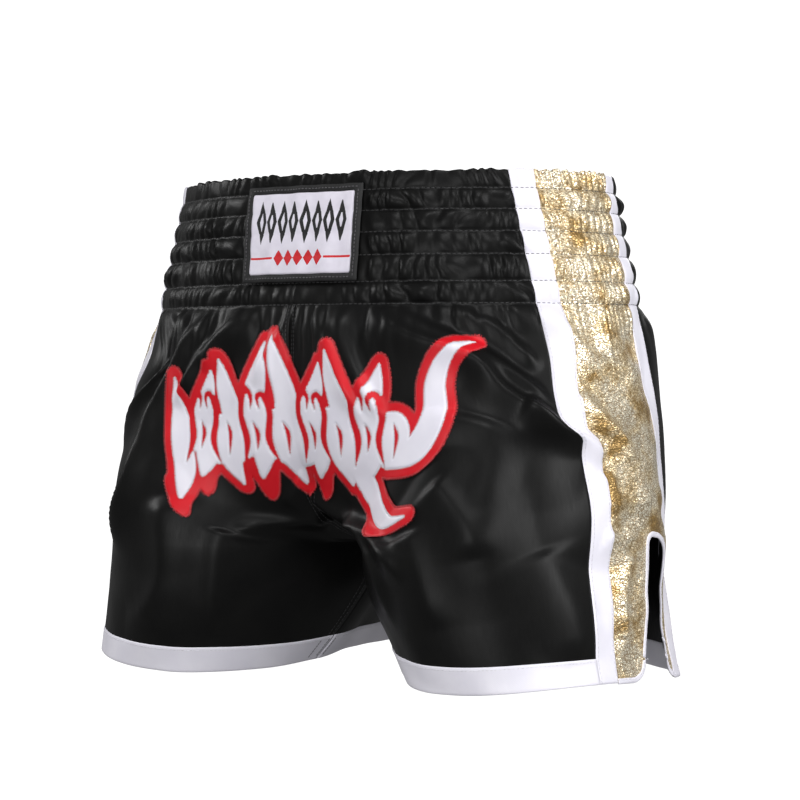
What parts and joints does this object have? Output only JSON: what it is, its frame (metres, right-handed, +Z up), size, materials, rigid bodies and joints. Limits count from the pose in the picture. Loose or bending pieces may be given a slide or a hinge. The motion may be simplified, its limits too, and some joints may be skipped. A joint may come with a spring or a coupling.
{
  "type": "muay thai style boxing shorts",
  "caption": "Black satin Muay Thai style boxing shorts in worn shape: shirred elastic waistband, gold side panels with slits, white tapes and hems, front badge.",
  "frame": {"origin": "centre of the waist opening, level with the waistband's top edge", "axes": "+Z up towards the wearer's waist, the front faces -Y, the wearer's left is +X"},
  "size_m": [0.4266, 0.2442, 0.3398],
  "materials": {
    "black_satin": "satin weave, soft broad sheen",
    "gold_lame": "metallic foil lame with a fine crinkle",
    "white_satin": "satin weave, cool white",
    "red_satin": "satin weave, zigzag stitched edge",
    "woven_white": "tight woven label",
    "woven_black": "tight woven label border, matt",
    "waist_elastic": "woven elastic tape"
  },
  "bodies": {
    "root": {"front_panel_left": "black_satin", "back_panel_left": "black_satin", "side_panel_left": "gold_lame", "front_tape_left": "white_satin", "back_tape_left": "white_satin", "front_hem_band_left": "white_satin", "back_hem_band_left": "white_satin", "slit_binding_left": "white_satin", "front_panel_right": "black_satin", "back_panel_right": "black_satin", "side_panel_right": "gold_lame", "front_tape_right": "white_satin", "back_tape_right": "white_satin", "front_hem_band_right": "white_satin", "back_hem_band_right": "white_satin", "slit_binding_right": "white_satin", "waist_elastic_1": "waist_elastic", "waist_elastic_2": "waist_elastic", "waist_elastic_3": "waist_elastic", "waist_elastic_4": "waist_elastic", "waist_elastic_5": "waist_elastic", "waist_elastic_6": "waist_elastic", "waist_facing": "black_satin", "care_tag": "woven_white", "label_face": "woven_white", "label_border": "woven_black", "badge_backing": "red_satin", "badge_scroll_1": "white_satin", "badge_scroll_2": "white_satin", "badge_scroll_3": "white_satin", "badge_scroll_4": "white_satin", "badge_scroll_5": "white_satin", "badge_scroll_6": "white_satin", "badge_scroll_7": "white_satin"}
  },
  "joints": []
}
